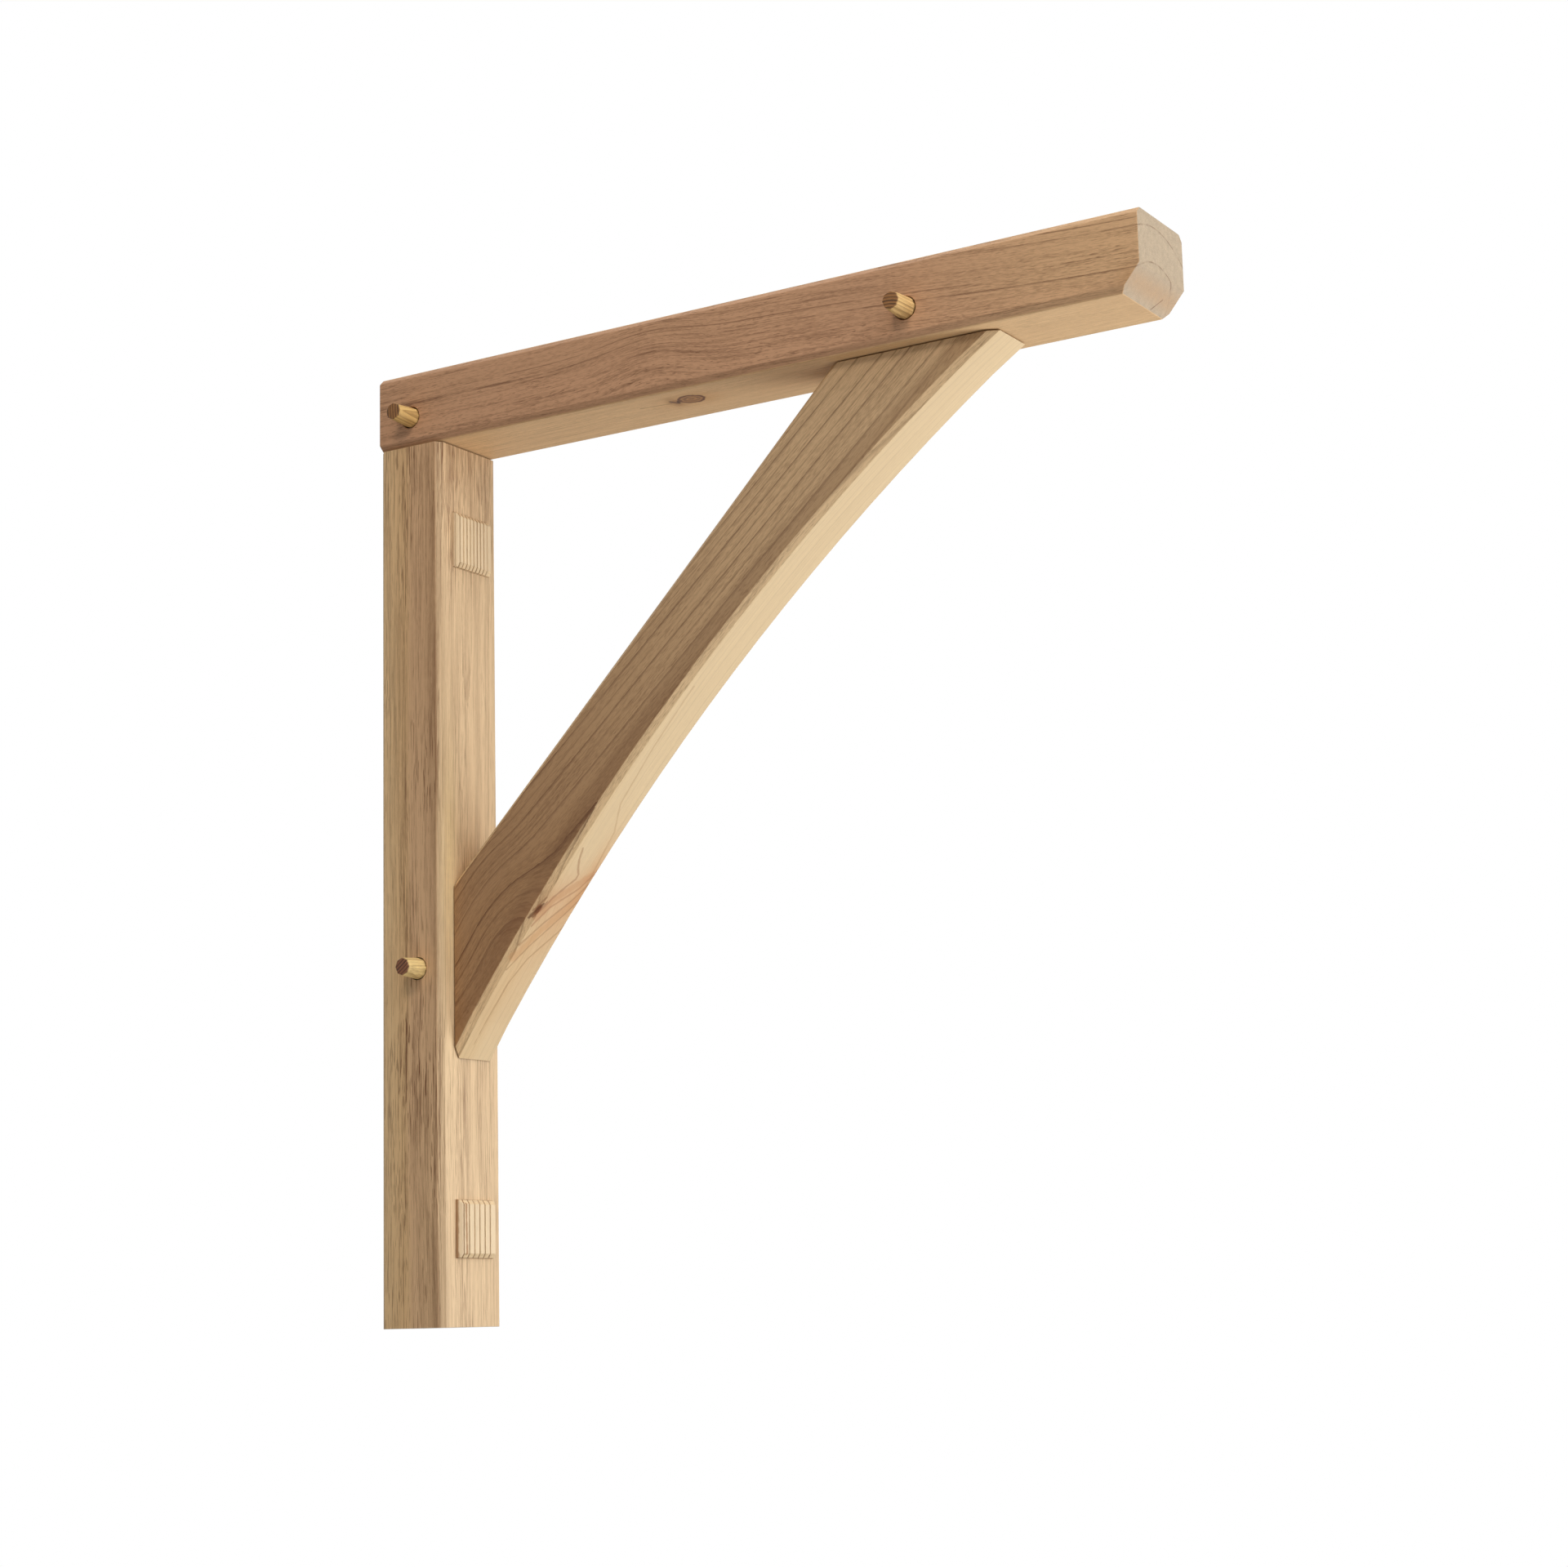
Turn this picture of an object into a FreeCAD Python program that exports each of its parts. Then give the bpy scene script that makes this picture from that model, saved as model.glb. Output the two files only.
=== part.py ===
import FreeCAD, Part
import math
import os

# Gallows bracket in planed softwood: a wall post, a beam and an arched brace, held together by
# blind mortise and tenon joints with a shaved peg through each.
# Millimetres. X runs out from the wall, Z is up and the face side is towards -Y.
# The origin is on the wall, midway between the two fixing holes.
# Y = 0 is the joint line, on which the brace, the tenons and the fixing holes are centred.

# Post and beam
timber_width = 69.0         # face side to back side
face_to_joint_line = 36.5   # face side to the joint line
post_depth = 55.0           # out from the wall
beam_height = 55.0
beam_length = 611.0         # wall to nose
arris = 4.2                 # chamfer along every long edge
nose_rise = 17.5            # bevel under the beam's free end, up the end face
nose_run = 14.5             # the same bevel, back along the underside

# Brace at 45 degrees, straight on its upper edge and arched below
brace_thickness = 45.0
brace_leg = 320.0           # inner corner of post and beam to the brace's straight edge
brace_seat = 127.0          # length of the seat on the post and on the beam
brace_waist = 60.0          # least width, at the middle of the arch
brace_arris = 4.4

# Mortise and tenon joints
post_tenon_thickness = 23.0
post_tenon_rear = 12.0      # shoulder on the wall side, under the end of the beam
post_tenon_front = 10.0     # shoulder on the brace side
post_tenon_length = 40.0
brace_tenon_thickness = 15.0
brace_tenon_shoulder = 14.0
brace_tenon_length = 40.0
joint_clearance = 0.2       # round the cheeks and edges of a tenon
mortise_relief = 1.0        # beyond the end of a tenon

# Pegs, eight-sided, with a tapered end that stands proud of the face side
peg_radius = 7.8            # to the corners
peg_end_radius = 6.4
peg_end_chamfer = 0.6
peg_sides = 8
peg_clearance = 0.25        # corner of the peg to the wall of its hole
peg_inset = 21.0            # shoulder to peg
beam_brace_peg_offset = 3.0 # out from the middle of the brace's seat
beam_post_peg_proud = 20.0
beam_brace_peg_proud = 19.5
post_brace_peg_proud = 17.5

# Wall fixings, each covered by a plug in a pocket of the post's front
fixing_spacing = 494.0
fixing_drop = 71.5          # underside of the beam to the upper fixing
fixing_rise = 67.5          # foot of the post to the lower fixing
fixing_hole_radius = 5.5
head_recess_radius = 12.5
head_recess_depth = 12.0
plug_width = 42.0
plug_height = 40.0
plug_seat_depth = 12.0
plug_proud = 4.8
plug_bevel = 3.0
plug_clearance = 0.15

# Planes and points that the pieces share
face_y = -face_to_joint_line
back_y = timber_width - face_to_joint_line
fixing_heights = {"upper": fixing_spacing / 2, "lower": -fixing_spacing / 2}
shoulder_z = fixing_heights["upper"] + fixing_drop
foot_z = fixing_heights["lower"] - fixing_rise
brace_reach = brace_leg + brace_seat
brace_seat_middle = brace_leg + brace_seat / 2

# Axis of each peg in X and Z, and how far its end stands proud
pegs = {
    "beam_post_peg": (
        (post_tenon_rear + post_depth - post_tenon_front) / 2,
        shoulder_z + peg_inset,
        beam_post_peg_proud,
    ),
    "beam_brace_peg": (
        post_depth + brace_seat_middle + beam_brace_peg_offset,
        shoulder_z + peg_inset,
        beam_brace_peg_proud,
    ),
    "post_brace_peg": (
        post_depth - peg_inset,
        shoulder_z - brace_seat_middle,
        post_brace_peg_proud,
    ),
}


def block(x_span, y_span, z_span):
    """Box from the low and high end of each axis."""
    corner = FreeCAD.Vector(x_span[0], y_span[0], z_span[0])
    sizes = [span[1] - span[0] for span in (x_span, y_span, z_span)]
    return Part.makeBox(*sizes, corner)


def about(middle, size):
    """Low and high end of a size centred on a point."""
    return middle - size / 2, middle + size / 2


def chamfered_outline(u_span, v_span, chamfer):
    """Corners of a rectangle whose four corners are cut at 45 degrees."""
    (u0, u1), (v0, v1) = u_span, v_span
    return [
        (u0 + chamfer, v0), (u1 - chamfer, v0), (u1, v0 + chamfer), (u1, v1 - chamfer),
        (u1 - chamfer, v1), (u0 + chamfer, v1), (u0, v1 - chamfer), (u0, v0 + chamfer),
    ]


def prism(points, direction):
    """Solid swept from a closed outline of straight edges."""
    outline = Part.makePolygon(points + points[:1])
    return Part.Face(outline).extrude(direction)


def post_tenon(gap=0.0, end_gap=0.0):
    """Tenon on top of the post, or the mortise for it when the gaps are given."""
    return block(
        (post_tenon_rear - gap, post_depth - post_tenon_front + gap),
        about(0, post_tenon_thickness + 2 * gap),
        (shoulder_z, shoulder_z + post_tenon_length + end_gap),
    )


def brace_tenon_in_beam(gap=0.0, end_gap=0.0):
    """Upper tenon of the brace, or the mortise for it when the gaps are given."""
    return block(
        about(post_depth + brace_seat_middle, brace_seat - 2 * brace_tenon_shoulder + 2 * gap),
        about(0, brace_tenon_thickness + 2 * gap),
        (shoulder_z, shoulder_z + brace_tenon_length + end_gap),
    )


def brace_tenon_in_post(gap=0.0, end_gap=0.0):
    """Lower tenon of the brace, or the mortise for it when the gaps are given."""
    return block(
        (post_depth - brace_tenon_length - end_gap, post_depth),
        about(0, brace_tenon_thickness + 2 * gap),
        about(shoulder_z - brace_seat_middle, brace_seat - 2 * brace_tenon_shoulder + 2 * gap),
    )


def peg_hole(name):
    """Bore for a peg, right through from the face side to the back."""
    x, z, _ = pegs[name]
    mouth = FreeCAD.Vector(x, face_y, z)
    return Part.makeCylinder(peg_radius + peg_clearance, timber_width, mouth, FreeCAD.Vector(0, 1, 0))


def fixing_recess(z):
    """Plug pocket, recess for the head of the fixing and clearance hole to the wall, as one cutter."""
    pocket_floor = post_depth - plug_seat_depth
    out = FreeCAD.Vector(1, 0, 0)
    pocket = block(
        (pocket_floor, post_depth),
        about(0, plug_width + 2 * plug_clearance),
        about(z, plug_height + 2 * plug_clearance),
    )
    head = Part.makeCylinder(
        head_recess_radius, head_recess_depth, FreeCAD.Vector(pocket_floor - head_recess_depth, 0, z), out
    )
    shank = Part.makeCylinder(fixing_hole_radius, pocket_floor, FreeCAD.Vector(0, 0, z), out)
    return pocket.fuse([head, shank])


def make_post():
    """Wall post: chamfered length, top tenon, brace mortise, peg bores and fixing recesses."""
    outline = chamfered_outline((0, post_depth), (face_y, back_y), arris)
    length = prism([FreeCAD.Vector(x, y, foot_z) for x, y in outline], FreeCAD.Vector(0, 0, shoulder_z - foot_z))
    cutters = [brace_tenon_in_post(joint_clearance, mortise_relief)]
    cutters += [peg_hole("beam_post_peg"), peg_hole("post_brace_peg")]
    cutters += [fixing_recess(z) for z in fixing_heights.values()]
    return length.fuse(post_tenon()).removeSplitter().cut(cutters)


def make_beam():
    """Beam: chamfered length with a bevelled nose, two blind mortises and two peg bores."""
    outline = chamfered_outline((face_y, back_y), (shoulder_z, shoulder_z + beam_height), arris)
    length = prism([FreeCAD.Vector(0, y, z) for y, z in outline], FreeCAD.Vector(beam_length, 0, 0))
    nose_corners = [
        FreeCAD.Vector(beam_length, face_y, shoulder_z),
        FreeCAD.Vector(beam_length, face_y, shoulder_z + nose_rise),
        FreeCAD.Vector(beam_length - nose_run, face_y, shoulder_z),
    ]
    cutters = [prism(nose_corners, FreeCAD.Vector(0, timber_width, 0))]
    cutters += [post_tenon(joint_clearance, mortise_relief), brace_tenon_in_beam(joint_clearance, mortise_relief)]
    cutters += [peg_hole("beam_post_peg"), peg_hole("beam_brace_peg")]
    return length.cut(cutters)


def make_brace():
    """Brace: arched blank with chamfered long edges, a tenon on each seat and two peg bores."""
    front_y = -brace_thickness / 2

    def at(out, down):
        return FreeCAD.Vector(post_depth + out, front_y, shoulder_z - down)

    arch_middle = brace_leg / 2 + brace_waist / math.sqrt(2)
    outline = Part.Wire([
        Part.makeLine(at(0, brace_leg), at(0, brace_reach)),
        Part.Arc(at(0, brace_reach), at(arch_middle, arch_middle), at(brace_reach, 0)).toShape(),
        Part.makeLine(at(brace_reach, 0), at(brace_leg, 0)),
        Part.makeLine(at(brace_leg, 0), at(0, brace_leg)),
    ])
    blank = Part.Face(outline).extrude(FreeCAD.Vector(0, brace_thickness, 0))

    def is_long_edge(edge):
        middle = edge.valueAt((edge.FirstParameter + edge.LastParameter) / 2)
        on_side = math.isclose(abs(middle.y), brace_thickness / 2)
        on_post = math.isclose(middle.x, post_depth)
        on_beam = math.isclose(middle.z, shoulder_z)
        return on_side and not on_post and not on_beam

    blank = blank.makeChamfer(brace_arris, [edge for edge in blank.Edges if is_long_edge(edge)])
    whole = blank.fuse([brace_tenon_in_beam(), brace_tenon_in_post()]).removeSplitter()
    return whole.cut([peg_hole("beam_brace_peg"), peg_hole("post_brace_peg")])


def make_peg(name):
    """Eight-sided peg: parallel through the joint, tapered where it stands proud, flush at the back."""
    x, z, proud = pegs[name]

    def ring(radius, y):
        turns = [2 * math.pi * side / peg_sides for side in range(peg_sides)]
        corners = [FreeCAD.Vector(x + radius * math.cos(a), y, z + radius * math.sin(a)) for a in turns]
        return Part.makePolygon(corners + corners[:1])

    shank = Part.makeLoft([ring(peg_radius, face_y), ring(peg_radius, back_y)], True, True)
    taper = Part.makeLoft([ring(peg_end_radius, face_y - proud), ring(peg_radius, face_y)], True, True)
    end_edges = [edge for edge in taper.Edges if math.isclose(edge.CenterOfMass.y, face_y - proud)]
    taper = taper.makeChamfer(peg_end_chamfer, end_edges)
    return shank.fuse(taper).removeSplitter()


def make_plug(z):
    """Cover plug: seated on the floor of its pocket, with a bevel round its proud face."""
    plug = block(
        (post_depth - plug_seat_depth, post_depth + plug_proud),
        about(0, plug_width),
        about(z, plug_height),
    )
    front_edges = [edge for edge in plug.Edges if math.isclose(edge.CenterOfMass.x, post_depth + plug_proud)]
    return plug.makeChamfer(plug_bevel, front_edges)


pieces = {"post": make_post(), "beam": make_beam(), "brace": make_brace()}
pieces.update({name: make_peg(name) for name in pegs})
pieces.update({f"{place}_cover_plug": make_plug(z) for place, z in fixing_heights.items()})

os.makedirs("parts", exist_ok=True)
for name, shape in pieces.items():
    shape.exportStep(f"parts/{name}.step")
    print(name, "solids", len(shape.Solids), "volume", round(shape.Volume))
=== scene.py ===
import math
import bmesh
import bpy
import numpy as np
from mathutils import Euler, Matrix, Vector


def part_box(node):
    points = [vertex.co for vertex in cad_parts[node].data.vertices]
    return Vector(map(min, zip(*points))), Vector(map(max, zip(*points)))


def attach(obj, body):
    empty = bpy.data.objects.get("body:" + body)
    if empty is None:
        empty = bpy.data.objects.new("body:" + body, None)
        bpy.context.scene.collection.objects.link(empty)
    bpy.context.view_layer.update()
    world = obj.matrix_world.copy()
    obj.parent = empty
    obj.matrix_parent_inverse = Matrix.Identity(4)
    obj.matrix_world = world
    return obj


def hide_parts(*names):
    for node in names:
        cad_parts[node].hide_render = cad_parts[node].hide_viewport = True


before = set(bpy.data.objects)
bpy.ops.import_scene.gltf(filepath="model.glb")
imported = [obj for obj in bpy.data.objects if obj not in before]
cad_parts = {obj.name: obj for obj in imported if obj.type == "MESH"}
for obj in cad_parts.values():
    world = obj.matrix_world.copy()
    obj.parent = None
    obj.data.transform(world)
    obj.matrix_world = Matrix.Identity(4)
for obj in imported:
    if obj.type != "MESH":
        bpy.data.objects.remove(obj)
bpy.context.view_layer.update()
scene = bpy.context.scene
mm = 0.001               # materials count in millimetres, meshes in metres
print("frame loaded:", ", ".join(sorted(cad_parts)))


# Camera

photoCamera = {
    "spot": (1.35061, -1.70183, -0.31764),
    "lens": 69.04,           # mm, as is the sensor's width
    "sensor": 36.0,
    "yaw": 31.26,            # degrees left of straight at the face side
    "pitch": 10.19,          # degrees up
    "roll": -1.404,          # degrees about the line of sight
}


def placeCamera(look):
    data = bpy.data.cameras.new("photoCamera")
    data.lens = look["lens"]
    data.sensor_width = look["sensor"]
    eye = bpy.data.objects.new("photoCamera", data)
    aim = Matrix.Rotation(math.radians(look["yaw"]), 4, "Z")
    lift = Matrix.Rotation(math.radians(90 + look["pitch"]), 4, "X")
    tilt = Matrix.Rotation(math.radians(look["roll"]), 4, "Z")
    eye.matrix_world = Matrix.Translation(look["spot"]) @ aim @ lift @ tilt
    scene.collection.objects.link(eye)
    scene.camera = eye


placeCamera(photoCamera)
print("camera placed")


# Shader maths

class Wire:                  # one socket of a node tree, so that its maths reads as sums
    def __init__(self, tree, socket=None):
        self.tree = tree
        self.socket = socket

    def node(self, kind, settings=None, sockets=None, output=0):    # any node: settings, then sockets
        made = self.tree.nodes.new("ShaderNode" + kind)
        for name, value in (settings or {}).items():
            setattr(made, name, value)
        for name, value in (sockets or {}).items():
            if isinstance(value, Wire):
                self.tree.links.new(value.socket, made.inputs[name])
            else:
                made.inputs[name].default_value = value
        return Wire(self.tree, made.outputs[output])

    def maths(self, operation, first, second=0.0):
        return self.node("Math", {"operation": operation}, {0: first, 1: second})

    def vector(self, operation, other):
        return self.node("VectorMath", {"operation": operation}, {0: self, 1: other})

    def scaled(self, amount):                       # a vector or a colour times a number
        return self.node("VectorMath", {"operation": "SCALE"}, {0: self, "Scale": amount})

    def dot(self, other):
        return self.node("VectorMath", {"operation": "DOT_PRODUCT"}, {0: self, 1: other}, "Value")

    def length(self):
        return self.node("VectorMath", {"operation": "LENGTH"}, {0: self}, "Value")

    def parts(self):
        split = self.node("SeparateXYZ", sockets={0: self}).socket.node
        return [Wire(self.tree, output) for output in split.outputs]

    def rise(self, low, high):                      # 0 below low, 1 above high, smooth between
        limits = {"Value": self, "From Min": low, "From Max": high}
        return self.node("MapRange", {"interpolation_type": "SMOOTHSTEP"}, limits)

    def mixed(self, none, full):                    # self is the share of the second colour
        return self.node("Mix", {"data_type": "RGBA"}, {0: self, 6: none, 7: full}, 2)

    def __add__(self, other):
        return self.maths("ADD", self, other)

    def __sub__(self, other):
        return self.maths("SUBTRACT", self, other)

    def __rsub__(self, other):
        return self.maths("SUBTRACT", other, self)

    def __mul__(self, other):
        return self.maths("MULTIPLY", self, other)

    def __truediv__(self, other):
        return self.maths("DIVIDE", self, other)

    def __pow__(self, other):
        return self.maths("POWER", self, other)

    def __rpow__(self, other):
        return self.maths("POWER", other, self)

    __radd__ = __add__
    __rmul__ = __mul__


def tint(red, green, blue):                         # screen values 0 to 255, as a linear colour
    share = np.array([red, green, blue]) / 255
    linear = np.where(share <= 0.04045, share / 12.92, ((share + 0.055) / 1.055) ** 2.4)
    return (*linear.tolist(), 1.0)


# Softwood, as a solid: growth rings round a pith line, fibre along it, and knots

grainTurns = {               # degrees that lay a piece's grain along X
    "along": (0, 0, 0),
    "upright": (0, 90, 0),
    "sloping": (0, 45, 0),
    "through": (0, 0, -90),
}

commonWood = {                       # a piece's own look adds to this or takes its place
    "inner": tint(227, 195, 156),    # heartwood; every piece has a sapwood of its own, as outer
    "deep": tint(104, 68, 42),       # late wood, dashes and fibre
    "end": tint(192, 174, 149), "endDeep": tint(132, 100, 72),
    "endTurn": (0.45, 0.72),         # cosine to the grain over which a face turns to end grain
    "poreShare": 0.8, "roughShare": 0.35,
    "phase": 0.0,
    "lean": (0.0, 0.0),              # the pith's drift across the grain, per mm along it
    "bends": [],                     # stretches along which the pith shifts, mm
    "swells": [],                    # where the rings bulge past a knot, mm
    "swayLength": 160.0, "swayWidth": 95.0, "ragged": 0.8,
    "heart": 50.0, "heartFade": 6.0,
    "lateCurve": 1.5, "breakWidth": 9.0,
    "lineRise": (-2.0, -1.0),        # distance from the pith over which the lines come in, mm
    "echoAt": 0.45, "echoWidth": 0.7, "echoBreaks": (0.62, 0.46),   # a fainter line inside each year
    "dashLength": 14.0, "dashWidth": 0.55, "dashes": (0.62, 0.69),
    "shade": 0.12, "fibre": 0.75, "fine": 0.6, "streak": 0.6, "ringTone": 0.06,
    "fibreSize": (60, 1.1, 1.1), "fineSize": (5, 0.36, 0.36), "streakSize": (300, 9, 9),
    "patchSize": (150, 24, 24), "patches": (0.38, 0.6),
    "poreSize": (2.0, 0.5, 0.5), "roughSize": (6, 4, 4),
    "quiet": [],                     # where the figure is faint: low, high and soft edge by grain axis
    "nearFaceShadeAndTone": [],                      # near faces tinted warmer and darker: painted shade of the side turned from the lamps, partly the wood's own tone
    "shadeAndToneFade": 0.2,                  # half the width of such a tint's edge, mm
    "roughness": 0.62, "specular": 0.32,
    "relief": 0.22, "reliefDepth": 0.4,
    "knots": [], "stainsAndPaintedLight": [], "marksAndPaintedShade": [],
}
reliefShares = {"fibre": 0.5, "fine": 0.3, "line": 0.25, "dash": 0.5, "pores": 0.6, "markOrPaintedShade": 0.5}
knotLook = {                         # distances as shares of the core
    "ragged": 0.35, "rings": 15,
    "rim": (0.68, 0.88), "edge": (1.08, 0.94),
}


def noise(place, size, seed, detail=2.0, output=0):   # size in mm by axis; the seed moves the pattern
    stretch = {0: place, 1: tuple(1 / part for part in size), 2: (seed, seed * 1.7, seed * 0.6)}
    moved = place.node("VectorMath", {"operation": "MULTIPLY_ADD"}, stretch)
    return place.node("TexNoise", sockets={"Vector": moved, "Scale": 1.0, "Detail": detail}, output=output)


def bell(place, centre, size):                        # 1 at the centre, about a third at that size
    off = place.vector("SUBTRACT", centre).vector("DIVIDE", size)
    return 2 ** (off.dot(off) * -1.44)


def fromSegment(place, start, end):                   # distance from a point to the line between two others
    run = Vector(end) - Vector(start)
    off = place.vector("SUBTRACT", start)
    share = off.dot(run / run.length_squared)
    share = share.maths("MINIMUM", share.maths("MAXIMUM", share, 0.0), 1.0)
    nearest = place.node("VectorMath", {"operation": "SCALE"}, {0: tuple(run), "Scale": share})
    return off.vector("SUBTRACT", nearest).length()


def softwood(name, ownLook):
    look = {**commonWood, **ownLook}
    seed = look["seed"]
    material = bpy.data.materials.new(name)
    material.use_nodes = True
    tree = material.node_tree
    shader = tree.nodes["Principled BSDF"]
    turn = [math.radians(angle) for angle in grainTurns[look["grain"]]]
    start = Wire(tree)
    local = start.node("TexCoord", output="Object")
    place = start.node("Mapping", sockets={"Vector": local, "Rotation": turn, "Scale": (1000, 1000, 1000)})
    axes = place.parts()

    # Distance from a pith line that sways, leans and bends, less the swelling round each knot
    swaySize = (look["swayLength"], look["swayWidth"], look["swayWidth"])
    drift = noise(place, swaySize, seed, 1.5, "Color").vector("SUBTRACT", (0.5, 0.5, 0.5))
    flow = place.vector("ADD", drift.vector("MULTIPLY", (0, 2 * look["sway"], 2 * look["sway"])))
    along, side, deep = flow.parts()
    sideOff = side - along * look["lean"][0] - look["pith"][0]
    deepOff = deep - along * look["lean"][1] - look["pith"][1]
    for bend in look["bends"]:
        bent = along.rise(bend["from"], bend["to"])
        sideOff = sideOff - bent * bend["shift"][0]
        deepOff = deepOff - bent * bend["shift"][1]
    reach = (sideOff * sideOff + deepOff * deepOff) ** 0.5
    for swell in look["swells"]:
        reach = reach - bell(place, swell["centre"], swell["size"]) * swell["height"]
    grain = start.node("CombineXYZ", sockets={0: along, 1: side, 2: reach})

    # Fibre, broad streaks and the short dark dashes of the resin canals follow the rings
    fibre = noise(grain, look["fibreSize"], seed + 5.3, 3.0)
    fine = noise(grain, look["fineSize"], seed + 7.9)
    streak = noise(grain, look["streakSize"], seed + 11.7)
    patch = noise(place, look["patchSize"], seed + 13.3, 1.0).rise(*look["patches"])
    loud = 1.0
    for calm in look["quiet"]:
        inside = 1.0
        for axis, (low, high, soft) in calm["spans"].items():
            across = axes[axis]
            inside = inside * across.rise(low - soft, low + soft) * across.rise(high + soft, high - soft)
        loud = loud * (1 - inside * calm["share"])
    dashSize = (look["dashLength"], look["dashWidth"], look["dashWidth"])
    dash = noise(grain, dashSize, seed + 17.1, 1.0).rise(*look["dashes"]) * (0.3 + 0.7 * patch) * loud

    # Growth rings: each year darkens to a thin broken line, with a fainter one inside it
    age = (reach + (fine - 0.5) * look["ragged"]) / look["spacing"] + look["phase"]
    year = age.maths("FLOOR", age)
    part = age - year
    tone = age.node("TexWhiteNoise", {"noise_dimensions": "1D"}, {"W": year + seed}, "Value")
    late = part.rise(1 - look["lateWidth"] / look["spacing"], 1.0) ** look["lateCurve"]
    broken = noise(grain, (look["lineLength"], look["breakWidth"], look["breakWidth"]), seed + 3.1)
    lineStrength = reach.rise(*look["lineRise"]) * loud
    line = late * (0.25 + 0.75 * broken.rise(*look["breaks"])) * (0.6 + 0.4 * tone) * lineStrength
    apart = part - look["echoAt"]
    echo = apart.maths("ABSOLUTE", apart).rise(look["echoWidth"] / look["spacing"], 0.0)
    echo = echo * broken.rise(*look["echoBreaks"]) * lineStrength

    shade = (fibre - 0.5) * look["fibre"] * (0.5 + patch) + (fine - 0.5) * look["fine"]
    shade = shade + (streak - 0.5) * look["streak"] + (tone - 0.5) * look["ringTone"]
    shade = look["shade"] + shade * loud
    heart = reach.rise(look["heart"] + look["heartFade"], look["heart"] - look["heartFade"])
    colour = heart.mixed(look["outer"], look["inner"])
    # Near-face tints: painted shade, warmer and darker on the side turned from the lamps, partly the wood's
    # own darker tone
    for shadeAndToneTint in look["nearFaceShadeAndTone"]:
        least, most = shadeAndToneTint["share"]
        share = least + axes[0].rise(shadeAndToneTint["from"], shadeAndToneTint["to"]) * (most - least)
        if "arch" in shadeAndToneTint:            # only near a curved edge: its centre, and the radii to fade over
            centre, far, near = shadeAndToneTint["arch"]
            spoke = place.vector("SUBTRACT", centre).vector("MULTIPLY", (1, 0, 1))
            share = share * spoke.length().rise(far, near)
        nearSide = axes[1].rise(shadeAndToneTint["edge"] + look["shadeAndToneFade"], shadeAndToneTint["edge"] - look["shadeAndToneFade"])
        colour = (nearSide * share).mixed(colour, shadeAndToneTint["colour"])
    colour = shade.mixed(colour, look["deep"])
    colour = (echo * look["echo"]).mixed(colour, look["deep"])
    colour = (line * look["lineShare"]).mixed(colour, look["deep"])
    colour = (dash * look["dashShare"]).mixed(colour, look["deep"])

    # Cut across the grain the fibre shows as fine pores and the rings as thin arcs
    grainAxis = Euler(turn).to_matrix().transposed() @ Vector((1, 0, 0))
    facing = start.node("TexCoord", output="Normal").dot(grainAxis)
    endGrain = facing.maths("ABSOLUTE", facing).rise(*look["endTurn"])
    pores = noise(place, look["poreSize"], seed + 19.9, 3.0)
    rough = noise(place, look["roughSize"], seed + 23.5)
    endColour = (line * look["endLine"]).mixed(look["end"], look["endDeep"])
    endColour = endColour.scaled(1 + (pores - 0.5) * look["poreShare"] + (rough - 0.5) * look["roughShare"])
    colour = endGrain.mixed(colour, endColour)

    # Relief: fibre stands up, late lines and dashes lie low, and pores roughen the end grain
    height = fibre * reliefShares["fibre"] + fine * reliefShares["fine"]
    height = height - line * reliefShares["line"] - dash * reliefShares["dash"]
    height = height * (1 - endGrain) + pores * endGrain * reliefShares["pores"]

    # Stains, knots and drawn marks lie over all of it; among the stains are patches of painted shade and
    # painted light, and among the marks a line of painted shade
    for stainOrPaintedLight in look["stainsAndPaintedLight"]:
        share = bell(place, stainOrPaintedLight["centre"], stainOrPaintedLight["size"]) * (0.6 + 0.8 * rough)
        colour = (share * stainOrPaintedLight["share"]).mixed(colour, stainOrPaintedLight["colour"])
    for knot in look["knots"]:
        off = place.vector("SUBTRACT", knot["centre"]).vector("DIVIDE", knot["core"])
        ringed = off.length() + (rough - 0.5) * knotLook["ragged"]
        swirl = ringed.maths("SINE", ringed * knotLook["rings"]) * 0.5 + 0.5
        core = (swirl * 0.5 + rough * 0.5).mixed(knot["heart"], knot["ring"])
        core = ringed.rise(*knotLook["rim"]).mixed(core, knot["rim"])
        colour = ringed.rise(*knotLook["edge"]).mixed(colour, core)
    # Marks: drawn figure lines, knot edges and a crack, and one painted shade line on a plug's near bevel
    for markOrPaintedShade in look["marksAndPaintedShade"]:
        points = markOrPaintedShade["points"]
        gap = fromSegment(place, points[0], points[1])
        for near, far in zip(points[1:], points[2:]):
            gap = gap.maths("MINIMUM", gap, fromSegment(place, near, far))
        gap = gap + (rough - 0.5) * markOrPaintedShade["width"]
        inside = gap.rise(markOrPaintedShade["width"], markOrPaintedShade["width"] * 0.3)
        colour = (inside * markOrPaintedShade["share"]).mixed(colour, markOrPaintedShade["colour"])
        height = height - inside * markOrPaintedShade["share"] * reliefShares["markOrPaintedShade"]

    roughness = look["roughness"] + (fibre - 0.5) * 0.2 - line * 0.06
    relief = {"Strength": look["relief"], "Distance": look["reliefDepth"] * mm, "Height": height}
    bump = start.node("Bump", sockets=relief, output="Normal")
    for socket, value in {"Base Color": colour, "Roughness": roughness, "Normal": bump}.items():
        tree.links.new(value.socket, shader.inputs[socket])
    shader.inputs["Specular IOR Level"].default_value = look["specular"]
    return material


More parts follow.
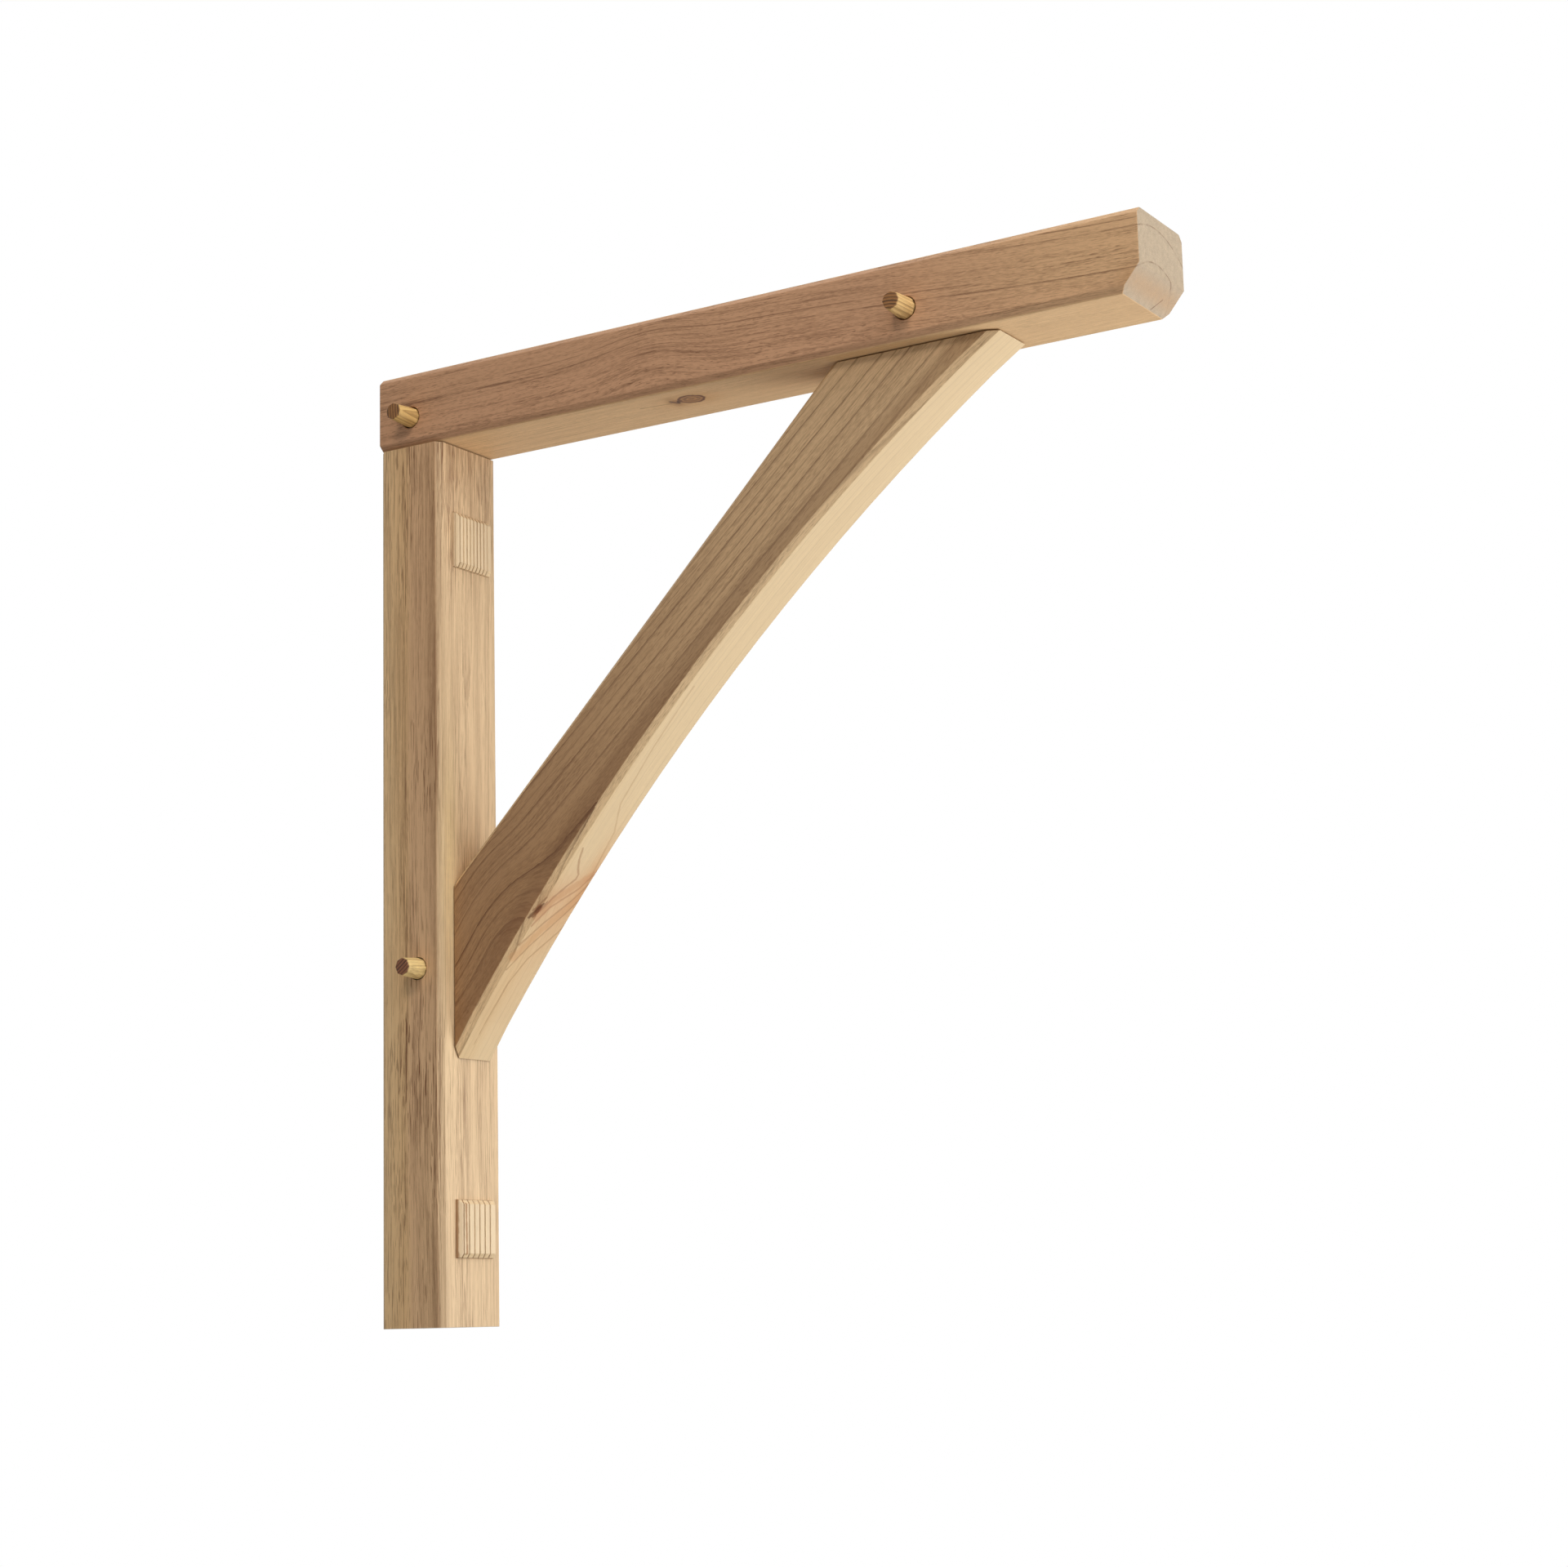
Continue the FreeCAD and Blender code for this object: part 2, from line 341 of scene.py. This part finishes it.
# Timbers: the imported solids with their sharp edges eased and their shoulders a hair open

timbers = {
    "post": {
        "grain": "upright", "seed": 4.0, "pith": (-5.0, -75.0), "spacing": 6.6,
        "sway": 4.0, "swayLength": 240.0,
        "outer": tint(234, 206, 156), "inner": tint(229, 200, 160), "deep": tint(112, 70, 40),
        "heart": 58.0, "heartFade": 3.0, "endLine": 0.5,
        "lateWidth": 1.4, "lineShare": 0.5, "lineLength": 70.0, "breaks": (0.46, 0.62), "echo": 0.15,
        "fibre": 2.1, "streak": 1.6, "ringTone": 0.26,
        "dashLength": 20.0, "dashShare": 0.95, "dashes": (0.59, 0.66),
        "quiet": [
            {"spans": {0: (-400.0, 215.0, 60.0), 2: (-56.0, -52.8, 0.4)}, "share": 0.45},
            {"spans": {1: (31.5, 34.0, 0.4)}, "share": 0.5},
        ],
        # painted shade: the near face warmer and darker, as the side turned from the lamps
        "nearFaceShadeAndTone": [
            {"edge": -36.1, "colour": tint(230, 170, 122), "from": -300, "to": 300, "share": (0.26, 0.32)},
        ],
        "stainsAndPaintedLight": [
            # painted shade: the top of the post's front darker where the beam overhangs it
            {"centre": (312, -6, -55), "size": (45, 60, 6), "share": 0.16, "colour": tint(180, 138, 96)},
            # the near face darker along its front edge in the upper half, lighter along its back edge and
            # lighter near the foot
            {"centre": (160, -36.5, -51), "size": (230, 1.2, 9), "share": 0.54, "colour": tint(146, 110, 76)},
            {"centre": (160, -36.5, -32), "size": (150, 1.2, 14), "share": 0.12, "colour": tint(130, 95, 66)},
            {"centre": (0, -36.5, -5), "size": (600, 1.2, 12), "share": 0.28, "colour": tint(255, 232, 186)},
            {
                "centre": (-265, -36.5, -43), "size": (110, 1.2, 12), "share": 0.2,
                "colour": tint(246, 214, 166),
            },
            # painted light: a lighter strip on the post's front beside the brace's seat, where the brace
            # casts shade
            {"centre": (0, -27, -55), "size": (85, 8, 5), "share": 0.55, "colour": tint(255, 228, 172)},
        ],
        "seats": [(2, 318.5, -1)],
    },
    "beam": {
        "grain": "along", "seed": 9.0, "pith": (-10.2, 310.5), "spacing": 24.0, "phase": 0.02, "sway": 1.5,
        "bends": [{"from": 300, "to": 640, "shift": (0.0, -17.0)}],
        "swells": [{"centre": (240, -12, 352), "size": (46, 60, 44), "height": 9.0}],
        "outer": tint(231, 196, 147), "inner": tint(233, 195, 147), "heart": 44.0, "endLine": 1.0,
        "lateWidth": 1.7, "lineShare": 0.8, "lineLength": 40.0, "breaks": (0.42, 0.58),
        "lineRise": (22.0, 46.0), "echo": 0.55, "echoAt": 0.19,
        "end": tint(178, 160, 136), "endDeep": tint(108, 80, 56),
        "fibre": 1.3, "fine": 1.3, "dashLength": 6.0, "dashWidth": 0.4, "dashShare": 0.55,
        "quiet": [
            {"spans": {2: (317.0, 320.0, 0.4)}, "share": 0.5},
            {"spans": {1: (31.5, 34.0, 0.4)}, "share": 0.5},
        ],
        # painted shade: the near face warmer and darker, more so towards the wall, with some of the wood's
        # own tone
        "nearFaceShadeAndTone": [
            {"edge": -33.0, "colour": tint(202, 155, 124), "from": 600, "to": 400, "share": (0.4, 0.8)},
        ],
        "knots": [{
            "centre": (255.5, -9.3, 318.5), "core": (10.5, 8.6, 16.0),
            "heart": tint(196, 146, 94), "ring": tint(112, 72, 42), "rim": tint(112, 72, 42),
        }],
        "stainsAndPaintedLight": [
            {"centre": (256, -8, 318.5), "size": (20, 12, 12), "share": 0.7, "colour": tint(204, 152, 96)},
            {"centre": (242, -9, 318.5), "size": (5, 9, 10), "share": 0.8, "colour": tint(156, 108, 66)},
            {"centre": (604, 0, 327), "size": (8, 80, 8), "share": 0.45, "colour": tint(186, 142, 96)},
        ],
        "marksAndPaintedShade": [
            {
                "points": [(239.5, -12.0, 318.5), (243.0, -6.0, 318.5), (245.0, -11.0, 318.5)],
                "width": 1.6, "share": 0.9, "colour": tint(80, 50, 30),
            },
            {
                "points": [(238.0, -8.5, 318.5), (214.0, -11.0, 318.5)],
                "width": 1.0, "share": 0.5, "colour": tint(128, 90, 58),
            },
            {
                "points": [(597.3, 8.3, 319.5), (603.2, 14.7, 326.6)],
                "width": 0.6, "share": 0.8, "colour": tint(112, 78, 48),
            },
        ],
        "seats": [],
    },
    "brace": {
        "grain": "sloping", "seed": 15.0, "pith": (-69.0, -105.6), "spacing": 11.1, "phase": 0.54,
        "lean": (0.0, -0.063), "sway": 1.2,
        "bends": [
            {"from": 112, "to": 20, "shift": (13.0, 0.0)},
            {"from": 80, "to": -30, "shift": (0.0, -18.0)},
        ],
        "outer": tint(238, 212, 169), "inner": tint(235, 206, 160), "heart": 54.0,
        "lateWidth": 1.9, "lineShare": 0.9, "lineLength": 200.0, "breaks": (0.3, 0.5), "echo": 0.4,
        "fibre": 0.7, "fine": 1.1, "dashLength": 7.0, "dashWidth": 0.45, "dashShare": 0.35, "endLine": 0.5,
        "quiet": [{"spans": {1: (-18.2, 19.0, 0.4)}, "share": 0.8}],
        # painted shade on the near face and its chamfer, darker towards the foot and in a band along the
        # curved edge, partly the brace's own darker heartwood
        "nearFaceShadeAndTone": [
            {"edge": -18.3, "colour": tint(208, 162, 122), "from": 520, "to": 20, "share": (0.25, 0.15)},
            {"edge": -22.2, "colour": tint(163, 119, 80), "from": 520, "to": 20, "share": (0.2, 0.8)},
            {
                "edge": -22.2, "colour": tint(118, 82, 54), "from": 420, "to": 120, "share": (0.36, 0.3),
                "arch": ((260, 0, -1762), 1683, 1674),
            },
        ],
        "knots": [{
            "centre": (68.5, -18.9, -110.4), "core": (4.4, 2.2, 2.0),
            "heart": tint(150, 100, 66), "ring": tint(114, 70, 44), "rim": tint(180, 132, 94),
        }],
        "stainsAndPaintedLight": [
            {"centre": (48, -22.5, -104), "size": (20, 3, 5), "share": 0.36, "colour": tint(140, 98, 66)},
            {"centre": (10, 0, -119), "size": (60, 30, 12), "share": 0.2, "colour": tint(214, 164, 112)},
            {"centre": (74, -16, -111), "size": (14, 7, 6), "share": 0.4, "colour": tint(176, 128, 88)},
            {"centre": (82, -3, -110), "size": (20, 16, 9), "share": 0.4, "colour": tint(210, 156, 112)},
            {"centre": (92, 15, -109), "size": (42, 9, 9), "share": 0.6, "colour": tint(206, 150, 100)},
            {"centre": (54, 3, -113), "size": (30, 13, 9), "share": 0.34, "colour": tint(214, 164, 116)},
        ],
        "marksAndPaintedShade": [
            {
                "points": [(30, -17, -116.2), (49, -7, -113.6), (75, 11, -110.5), (98, 23, -108.2)],
                "width": 5.5, "share": 0.46, "colour": tint(206, 152, 102),
            },
            {
                "points": [(64, -17, -111.8), (78, -10, -110.2), (92, 4, -108.8), (108, 22, -107.2)],
                "width": 5.0, "share": 0.42, "colour": tint(198, 140, 94),
            },
            {
                "points": [(60, -20.9, -109.2), (66, -19.8, -109.9), (74, -17.8, -110.5)],
                "width": 1.3, "share": 0.75, "colour": tint(108, 68, 42),
            },
            {
                "points": [(62, -19.4, -110.6), (68, -18.0, -111.0), (76, -15.5, -110.4)],
                "width": 1.1, "share": 0.6, "colour": tint(128, 82, 52),
            },
            {
                "points": [(66, -20.9, -108.6), (72, -19.6, -109.4), (79, -18.2, -109.7)],
                "width": 1.0, "share": 0.55, "colour": tint(140, 94, 62),
            },
            {
                "points": [(-40, -9, -127.3), (10, -7, -119.1), (30, -1, -116.2),
                           (55, 16, -112.9), (74, 23, -110.7)],
                "width": 1.2, "share": 0.45, "colour": tint(164, 120, 80),
            },
            {
                "points": [(20, -17, -117.6), (40, -7, -114.8), (70, 12, -111.1), (92, 23, -108.8)],
                "width": 1.2, "share": 0.5, "colour": tint(164, 120, 80),
            },
            {
                "points": [(40, -18, -114.8), (58, -7, -112.5), (80, 10, -110.0), (104, 23, -107.6)],
                "width": 1.4, "share": 0.5, "colour": tint(164, 116, 78),
            },
            {
                "points": [(56, -17, -112.8), (72, -9, -110.9), (90, 10, -109.0), (114, 23, -106.7)],
                "width": 1.4, "share": 0.55, "colour": tint(174, 120, 82),
            },
            {
                "points": [(68, -17, -111.3), (80, -12, -110.0), (90, -5, -109.0), (97, 0.5, -108.3),
                           (101, 0, -107.9), (105, -4, -107.5), (112, -9, -106.8), (121, -12.5, -106.0)],
                "width": 1.5, "share": 0.5, "colour": tint(156, 106, 70),
            },
            {
                "points": [(90, 17, -109.0), (138, 10, -104.7), (160, -3, -103.2),
                           (210, -9, -100.9), (260, -12, -100.0)],
                "width": 1.3, "share": 0.3, "colour": tint(170, 126, 84),
            },
        ],
        "seats": [(0, 55.0, 1), (2, 318.5, -1)],
    },
}
jointGap = {"width": 1.0, "reach": 0.01}     # mm at a shoulder, and how near its plane a point counts
easedArris = {
    "width": 0.7 * mm, "segments": 2,
    "sharp": 20.0,           # least turn of an edge that is eased, degrees
    "merge": 0.001 * mm,     # points nearer than this become one
    "flat": 0.5,             # faces that turn less than this become one, degrees
}


def openSeats(mesh, seats):  # every point on a seat's plane steps back into its own piece by the gap
    points = np.empty(len(mesh.vertices) * 3, dtype=np.float32)
    mesh.vertices.foreach_get("co", points)
    points = points.reshape(-1, 3)
    for axis, plane, inward in seats:
        onSeat = np.abs(points[:, axis] - plane * mm) < jointGap["reach"] * mm
        points[onSeat, axis] += inward * jointGap["width"] * mm
    mesh.vertices.foreach_set("co", points.ravel())


def softenedTimber(node, seats, look):
    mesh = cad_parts[node].data.copy()
    work = bmesh.new()
    work.from_mesh(mesh)
    bmesh.ops.remove_doubles(work, verts=work.verts, dist=look["merge"])
    flat = math.radians(look["flat"])
    bmesh.ops.dissolve_limit(work, angle_limit=flat, verts=work.verts, edges=work.edges)
    work.to_mesh(mesh)
    work.free()
    openSeats(mesh, seats)
    mesh.shade_smooth()
    mesh.set_sharp_from_angle(angle=math.radians(look["sharp"]))
    piece = bpy.data.objects.new(node + "Timber", mesh)
    scene.collection.objects.link(piece)
    ease = piece.modifiers.new("easedArris", "BEVEL")
    ease.width = look["width"]
    ease.segments = look["segments"]
    ease.limit_method = "ANGLE"
    ease.angle_limit = math.radians(look["sharp"])
    ease.harden_normals = True
    return piece


def dress(piece, node, material):              # hands a new piece over to the frame
    piece.data.materials.clear()
    piece.data.materials.append(material)
    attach(piece, "root")
    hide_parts(node)


for node, look in timbers.items():
    dress(softenedTimber(node, look["seats"], easedArris), node, softwood(node + "Softwood", look))
    print("timber dressed:", node)


# Pegs, shaved by hand to eight uneven flats

pegWood = {
    "heart": 0.0, "heartFade": 0.1, "deep": tint(128, 82, 42),
    "end": tint(164, 117, 72), "endDeep": tint(26, 16, 10), "endLine": 1.0, "ragged": 0.2,
    "grain": "through", "lateWidth": 2.3, "spacing": 2.3, "sway": 0.5, "swayLength": 60.0,
    "lineShare": 0.6, "lineLength": 60.0, "breaks": (0.1, 0.3), "echo": 0.0, "dashShare": 0.3,
}
pegs = {
    "beam_post_peg": {
        "seed": 21.0, "pith": (-120.0, 345.0), "outer": tint(235, 198, 128),
        "cuts": (0.2, 1.0, 0.5, 0.9, 0.1, 0.7, 0.4, 0.0),
    },
    "beam_brace_peg": {
        "seed": 26.0, "pith": (-438.0, 312.0), "outer": tint(238, 202, 138),
        "cuts": (0.6, 0.1, 0.9, 0.3, 0.8, 0.2, 0.5, 1.0),
    },
    "post_brace_peg": {
        "seed": 31.0, "pith": (6.0, -14.0), "outer": tint(255, 228, 160),
        "end": tint(149, 100, 73), "lineShare": 0.5,
        "cuts": (0.9, 0.3, 0.0, 0.6, 1.0, 0.4, 0.8, 0.2),
    },
}
pegShape = {
    "flats": 8, "around": 96, "corner": 34.0,        # corner: higher is sharper
    "cutDepth": 0.035,       # deepest of the uneven flats, as a share of the radius
    "endShare": 0.82,        # the proud end's radius
    "taperCurve": 1.15, "proudSteps": 12,
    "endEase": 0.6 * mm,
    "backRings": (0.5, 0.94),        # radii of the flush end's two rings
    "capRings": (0.76, 0.55, 0.25),  # radii of the proud end's three rings
    "capRise": (0.09 * mm, 0.0175 * mm, 0.0),        # how far each of those lies behind the tip
}


def skin(name, rings):       # closed rings of points, stacked along a path, with a pole at each end
    count, around = rings.shape[:2]
    points = np.concatenate([rings.reshape(-1, 3), rings[[0, -1]].mean(axis=1)])
    row, column = np.meshgrid(np.arange(count - 1), np.arange(around), indexing="ij")
    beside = (column + 1) % around
    lower, upper = row * around, (row + 1) * around
    quads = np.stack([lower + column, lower + beside, upper + beside, upper + column], -1)
    turn = np.arange(around)
    last = (count - 1) * around
    startFan = np.stack([(turn + 1) % around, turn, np.full(around, count * around)], -1)
    endFan = np.stack([last + turn, last + (turn + 1) % around, np.full(around, count * around + 1)], -1)
    return solidMesh(name, points, quads.reshape(-1, 4).tolist() + startFan.tolist() + endFan.tolist())


def solidMesh(name, points, faces, sharp=30.0):
    mesh = bpy.data.meshes.new(name)
    mesh.from_pydata(points.tolist(), [], faces)
    work = bmesh.new()
    work.from_mesh(mesh)
    bmesh.ops.recalc_face_normals(work, faces=work.faces)
    work.to_mesh(mesh)
    work.free()
    mesh.shade_smooth()
    mesh.set_sharp_from_angle(angle=math.radians(sharp))
    piece = bpy.data.objects.new(name, mesh)
    scene.collection.objects.link(piece)
    return piece


def shavedPeg(node, look, shape):
    # The section's radius at a turn is the soft least of every flat's distance over the cosine to it.
    # The section is carried from the back to the proud end, where it narrows, is eased and is crowned.
    low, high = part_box(node)
    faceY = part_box("beam")[0].y
    radius = (high.x - low.x) / 2
    turn = np.linspace(0, 2 * np.pi, shape["around"], endpoint=False)
    flats = (np.arange(shape["flats"]) + 0.5) * 2 * np.pi / shape["flats"]
    depths = np.cos(np.pi / shape["flats"]) * (1 - shape["cutDepth"] * np.array(look["cuts"]))
    facing = np.clip(np.cos(turn[:, None] - flats) / depths, 0, None)
    section = (facing ** shape["corner"]).sum(axis=1) ** (-1 / shape["corner"])
    ease = shape["endEase"]
    inner, outer = shape["backRings"]
    backSteps = np.array([[high.y, inner], [high.y, outer], [high.y - ease, 1.0], [faceY, 1.0]])
    proud = np.linspace(0, 1, shape["proudSteps"])[1:]
    narrowed = 1 - (1 - shape["endShare"]) * proud ** shape["taperCurve"]
    taper = np.stack([faceY + (low.y + ease - faceY) * proud, narrowed], -1)
    cap = np.stack([low.y + np.array(shape["capRise"]), shape["capRings"]], -1)
    stations = np.concatenate([backSteps, taper, cap])
    size = radius * stations[:, 1:] * section
    middle = (low + high) / 2
    depth = np.broadcast_to(stations[:, :1], size.shape)
    rings = np.stack([middle.x + size * np.cos(turn), depth, middle.z + size * np.sin(turn)], -1)
    return skin(node + "Shaved", rings)


for node, look in pegs.items():
    dress(shavedPeg(node, look, pegShape), node, softwood(node + "Softwood", {**pegWood, **look}))
    print("peg dressed:", node)


# Cover plugs: bevelled blocks whose growth lines stand as shallow grooves

plugWood = {
    "outer": tint(236, 213, 177), "inner": tint(236, 213, 177), "deep": tint(114, 72, 37),
    "end": tint(232, 206, 166), "endDeep": tint(134, 90, 50), "endLine": 0.9,
    "grain": "upright", "sway": 0.0, "lateWidth": 1.8,
    "lineShare": 0.62, "lineLength": 200.0, "breaks": (0.1, 0.3), "echo": 0.0,
    "dashShare": 0.15, "streak": 0.15, "shade": 0.04, "fibre": 0.3, "fine": 0.3,
}
plugs = {
    "upper_cover_plug": {
        "seed": 37.0, "pith": (-178.0, 33.0), "spacing": 3.56, "lineRise": (216.0, 212.0),
        "lineShare": 0.44,
    },
    "lower_cover_plug": {
        "seed": 43.0, "pith": (-178.0, 33.0), "spacing": 5.3, "lineRise": (216.0, 212.0),
        "marksAndPaintedShade": [
            {
                "points": [(-268, -14.5, -59.8), (-226, -15.5, -59.8)],
                "width": 1.7, "share": 0.8, "colour": tint(156, 110, 66),
            },
            # painted shade: the plug's near bevel darker, as in its shadow
            {
                "points": [(-268, -21, -56.0), (-226, -21, -56.0)],
                "width": 2.0, "share": 0.7, "colour": tint(150, 104, 64),
            },
        ],
    },
}
plugShape = {"bevel": 3.0 * mm, "columns": 169, "rows": 41, "groove": 0.7 * mm}


def groovedPlug(node, look, shape):
    # Front height over across and up: level, falling at 45 degrees from the nearest edge's bevel line,
    # less a groove where the distance from the pith line ends a year. The rim then runs back to the seat.
    low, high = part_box(node)
    across = np.linspace(low.y, high.y, shape["columns"])[None, :]
    up = np.linspace(low.z, high.z, shape["rows"])[:, None]
    edge = np.minimum(np.minimum(across - low.y, high.y - across), np.minimum(up - low.z, high.z - up))
    front = high.x - np.clip(shape["bevel"] - edge, 0, None)
    reach = np.hypot(across / mm - look["pith"][0], front / mm + look["pith"][1]) / look["spacing"]
    dark = np.clip((reach % 1 - 1) * look["spacing"] / plugWood["lateWidth"] + 1, 0, 1)
    gone, full = look["lineRise"]
    fade = np.clip((reach * look["spacing"] - gone) / (full - gone), 0, 1)
    front = front - shape["groove"] * dark * (3 - 2 * dark) * dark * fade
    rows, columns = front.shape
    face = np.stack(np.broadcast_arrays(front, across, up), -1).reshape(-1, 3)
    index = np.arange(rows * columns).reshape(rows, columns)
    quads = np.stack([index[:-1, :-1], index[:-1, 1:], index[1:, 1:], index[1:, :-1]], -1).reshape(-1, 4)
    rim = np.concatenate([index[0, :-1], index[:-1, -1], index[-1, :0:-1], index[:0:-1, 0]])
    seat = face[rim].copy()
    seat[:, 0] = low.x
    seatRim = rows * columns + np.arange(len(rim))
    walls = np.stack([rim, seatRim, np.roll(seatRim, -1), np.roll(rim, -1)], -1)
    faces = quads.tolist() + walls.tolist() + [seatRim.tolist()]
    return solidMesh(node + "Grooved", np.concatenate([face, seat]), faces)


for node, look in plugs.items():
    wood = softwood(node + "Softwood", {**plugWood, **look})
    dress(groovedPlug(node, look, plugShape), node, wood)
    print("plug dressed:", node)


# Studio

floorLook = {
    "height": -0.66, "half": 6.0, "colour": (0.62, 0.62, 0.61, 1.0),
    "clearFrom": 0.7, "clearTo": 2.2,        # metres out, over which it turns to plain white
    "veil": 0.5,             # share of white below the part
}
lamps = {                    # spot, aim and size in metres, power in watts
    "rightSoftbox": {
        "spot": (2.2, -0.5, 0.15), "aim": (0.2, 0.0, 0.05), "size": (1.4, 1.4),
        "power": 7.5, "colour": (1.0, 1.0, 1.0),
    },
    "highSoftbox": {
        "spot": (1.8, -0.4, 1.3), "aim": (0.2, 0.0, 0.0), "size": (0.8, 0.8),
        "power": 14.0, "colour": (1.0, 1.0, 1.0),
    },
    "underCard": {
        "spot": (1.235, 0.725, -0.395), "aim": (0.585, 0.125, 0.405), "size": (1.2, 0.45),
        "power": 11.5, "colour": (1.0, 1.0, 1.0),
    },
    "frontKey": {
        "spot": (0.9, -2.0, 1.5), "aim": (0.2, 0.0, 0.1), "size": (0.6, 0.6),
        "power": 14.5, "colour": (1.0, 0.86, 0.73),
    },
    "overhead": {
        "spot": (0.3, 0.2, 2.3), "aim": (0.3, 0.2, 0.0), "size": (2.2, 2.2),
        "power": 10.0, "colour": (1.0, 1.0, 1.0),
    },
}
worldLook = {"strength": 0.2, "colour": (1.0, 0.94, 0.88, 1.0)}


def seenDirectly(start):                 # 1 for the camera, a mirror or glass, 0 for light on its way
    paths = start.node("LightPath").socket.node.outputs
    rays = ("Is Camera Ray", "Is Glossy Ray", "Is Transmission Ray")
    camera, glossy, through = (Wire(start.tree, paths[ray]) for ray in rays)
    return camera.maths("MAXIMUM", camera, glossy.maths("MAXIMUM", glossy, through))


def makeFloor(look):
    half, height = look["half"], look["height"]
    corners = [(-half, -half, height), (half, -half, height), (half, half, height), (-half, half, height)]
    mesh = bpy.data.meshes.new("floor")
    mesh.from_pydata(corners, [], [(0, 1, 2, 3)])
    floor = bpy.data.objects.new("floor", mesh)
    scene.collection.objects.link(floor)
    material = bpy.data.materials.new("paleFloor")
    material.use_nodes = True
    tree = material.node_tree
    tree.nodes.clear()
    start = Wire(tree)
    away = start.node("TexCoord", output="Object").vector("MULTIPLY", (1, 1, 0)).length()
    cleared = away.rise(look["clearFrom"], look["clearTo"])
    veil = seenDirectly(start) * (look["veil"] + (1 - look["veil"]) * cleared)
    matt = start.node("BsdfDiffuse", sockets={"Color": look["colour"]})
    white = start.node("Emission", sockets={"Color": (1, 1, 1, 1), "Strength": 1.0})
    both = start.node("MixShader", sockets={0: veil, 1: matt, 2: white})
    out = tree.nodes.new("ShaderNodeOutputMaterial")
    tree.links.new(both.socket, out.inputs["Surface"])
    mesh.materials.append(material)


def hangLamp(name, look):
    data = bpy.data.lights.new(name, "AREA")
    data.shape = "RECTANGLE"
    data.size, data.size_y = look["size"]
    data.energy = look["power"]
    data.color = look["colour"]
    lamp = bpy.data.objects.new(name, data)
    away = Vector(look["spot"]) - Vector(look["aim"])
    lamp.matrix_world = Matrix.Translation(look["spot"]) @ away.to_track_quat("Z", "Y").to_matrix().to_4x4()
    scene.collection.objects.link(lamp)


def fillWorld(look):
    world = bpy.data.worlds.new("studio")
    scene.world = world
    world.use_nodes = True
    tree = world.node_tree
    start = Wire(tree)
    tree.nodes.clear()
    dim = start.node("Background", sockets={"Color": look["colour"], "Strength": look["strength"]})
    white = start.node("Background", sockets={"Color": (1, 1, 1, 1), "Strength": 1.0})
    both = start.node("MixShader", sockets={0: seenDirectly(start), 1: dim, 2: white})
    out = tree.nodes.new("ShaderNodeOutputWorld")
    tree.links.new(both.socket, out.inputs["Surface"])


makeFloor(floorLook)
for name, look in lamps.items():
    hangLamp(name, look)
fillWorld(worldLook)
scene.view_settings.view_transform = "Standard"
print("studio lit")
